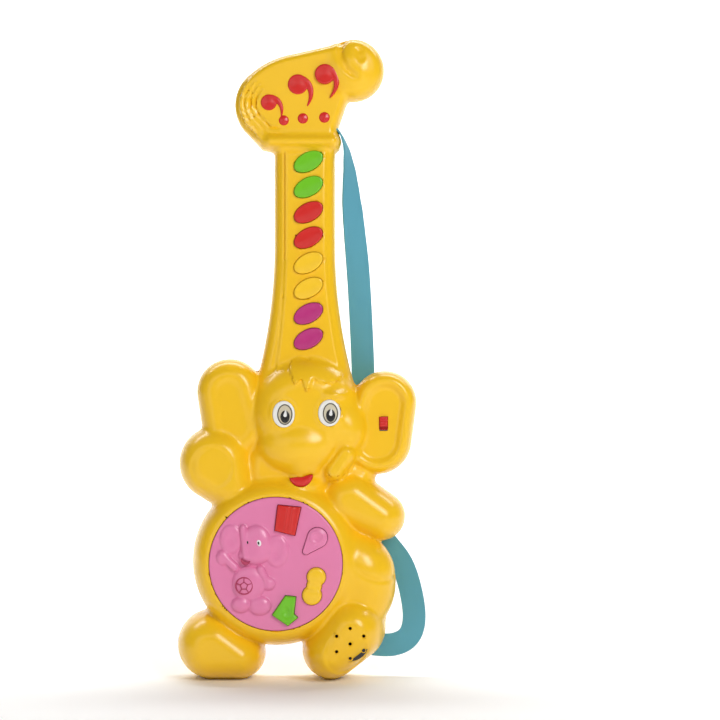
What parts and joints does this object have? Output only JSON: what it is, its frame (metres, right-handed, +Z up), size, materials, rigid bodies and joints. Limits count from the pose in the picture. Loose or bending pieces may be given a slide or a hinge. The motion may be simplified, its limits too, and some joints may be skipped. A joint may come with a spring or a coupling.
{
  "type": "toy electric guitar",
  "caption": "Upright toy electric guitar shaped as a sitting elephant, with neck keys, shape buttons on a round belly disc, a foot speaker and a ribbon strap.",
  "frame": {"origin": "on the floor under the middle of the box round the toy without its strap", "axes": "+Z up along the neck, +X to the right of someone facing the elephant, +Y out of its back"},
  "size_m": [0.15, 0.0517, 0.3849],
  "materials": {
    "yellow_shell": "glossy moulded plastic",
    "red_plastic": "glossy moulded plastic",
    "green_plastic": "glossy moulded plastic",
    "magenta_plastic": "glossy moulded plastic",
    "yellow_plastic": "glossy moulded plastic",
    "pink_plastic": "glossy moulded plastic",
    "eye_white": "glossy painted oval",
    "pupil_black": "glossy paint",
    "silicone": "satin",
    "circuit_board": "satin laminate",
    "chip_resin": "satin",
    "screw_steel": "zinc plated",
    "bright_steel": "nickel plated",
    "magnet": "matt ferrite",
    "paper_cone": "matt paper",
    "cell_jacket": "printed jacket",
    "wire_jacket": "satin",
    "strap_cloth": "satin ribbon"
  },
  "bodies": {
    "case": {"front_shell": "yellow_shell", "back_shell": "yellow_shell", "case_screws": "screw_steel", "key_board_screws": "screw_steel", "main_board_screws": "screw_steel", "switch_screws": "screw_steel", "speaker_screws": "screw_steel", "headstock_insert": "red_plastic", "mouth_insert": "red_plastic", "left_eye": "eye_white", "right_eye": "eye_white", "eye_pupils": "pupil_black", "belly_disc": "pink_plastic", "key_sheet": "silicone", "button_sheet": "silicone", "key_board": "circuit_board", "main_board": "circuit_board", "switch_board": "circuit_board", "sound_chip": "chip_resin", "board_components": "chip_resin", "switch_body": "bright_steel", "speaker_frame": "bright_steel", "speaker_cone": "paper_cone", "speaker_magnet": "magnet", "speaker_clamp": "yellow_plastic", "battery_springs": "bright_steel", "contact_plates": "bright_steel", "plus_studs": "bright_steel", "key_ribbon_cable": "wire_jacket", "speaker_wires": "wire_jacket", "battery_wires": "wire_jacket", "switch_wires": "wire_jacket", "strap_ribbon": "strap_cloth", "strap_anchors": "yellow_plastic", "battery_1": "cell_jacket", "battery_2": "cell_jacket", "battery_3": "cell_jacket"},
    "neck_key_1": {"neck_key_1": "green_plastic"},
    "neck_key_2": {"neck_key_2": "green_plastic"},
    "neck_key_3": {"neck_key_3": "red_plastic"},
    "neck_key_4": {"neck_key_4": "red_plastic"},
    "neck_key_5": {"neck_key_5": "yellow_plastic"},
    "neck_key_6": {"neck_key_6": "yellow_plastic"},
    "neck_key_7": {"neck_key_7": "magenta_plastic"},
    "neck_key_8": {"neck_key_8": "magenta_plastic"},
    "block_button": {"block_button": "red_plastic"},
    "curl_button": {"curl_button": "pink_plastic"},
    "peanut_button": {"peanut_button": "yellow_plastic"},
    "wedge_button": {"wedge_button": "green_plastic"},
    "switch_cap": {"switch_cap": "red_plastic"},
    "battery_door": {"battery_door": "yellow_shell", "battery_door_screws": "screw_steel"}
  },
  "joints": [
    {"name": "neck_key_1_press", "type": "slide", "parent": "case", "child": "neck_key_1", "axis": [0, 1, 0], "range_m": [0, 0.0014], "stiffness_N_per_m": 600},
    {"name": "neck_key_2_press", "type": "slide", "parent": "case", "child": "neck_key_2", "axis": [0, 1, 0], "range_m": [0, 0.0014], "stiffness_N_per_m": 600},
    {"name": "neck_key_3_press", "type": "slide", "parent": "case", "child": "neck_key_3", "axis": [0, 1, 0], "range_m": [0, 0.0014], "stiffness_N_per_m": 600},
    {"name": "neck_key_4_press", "type": "slide", "parent": "case", "child": "neck_key_4", "axis": [0, 1, 0], "range_m": [0, 0.0014], "stiffness_N_per_m": 600},
    {"name": "neck_key_5_press", "type": "slide", "parent": "case", "child": "neck_key_5", "axis": [0, 1, 0], "range_m": [0, 0.0014], "stiffness_N_per_m": 600},
    {"name": "neck_key_6_press", "type": "slide", "parent": "case", "child": "neck_key_6", "axis": [0, 1, 0], "range_m": [0, 0.0014], "stiffness_N_per_m": 600},
    {"name": "neck_key_7_press", "type": "slide", "parent": "case", "child": "neck_key_7", "axis": [0, 1, 0], "range_m": [0, 0.0014], "stiffness_N_per_m": 600},
    {"name": "neck_key_8_press", "type": "slide", "parent": "case", "child": "neck_key_8", "axis": [0, 1, 0], "range_m": [0, 0.0014], "stiffness_N_per_m": 600},
    {"name": "block_button_press", "type": "slide", "parent": "case", "child": "block_button", "axis": [0, 1, 0], "range_m": [0, 0.0016], "stiffness_N_per_m": 600},
    {"name": "curl_button_press", "type": "slide", "parent": "case", "child": "curl_button", "axis": [0, 1, 0], "range_m": [0, 0.0016], "stiffness_N_per_m": 600},
    {"name": "peanut_button_press", "type": "slide", "parent": "case", "child": "peanut_button", "axis": [0, 1, 0], "range_m": [0, 0.0016], "stiffness_N_per_m": 600},
    {"name": "wedge_button_press", "type": "slide", "parent": "case", "child": "wedge_button", "axis": [0, 1, 0], "range_m": [0, 0.0016], "stiffness_N_per_m": 600},
    {"name": "switch_cap_slide", "type": "slide", "parent": "case", "child": "switch_cap", "axis": [0, 0, -1], "range_m": [0, 0.0024]},
    {"name": "battery_door_lift", "type": "slide", "parent": "case", "child": "battery_door", "axis": [0, 1, 0], "range_m": [0, 0.03]}
  ]
}
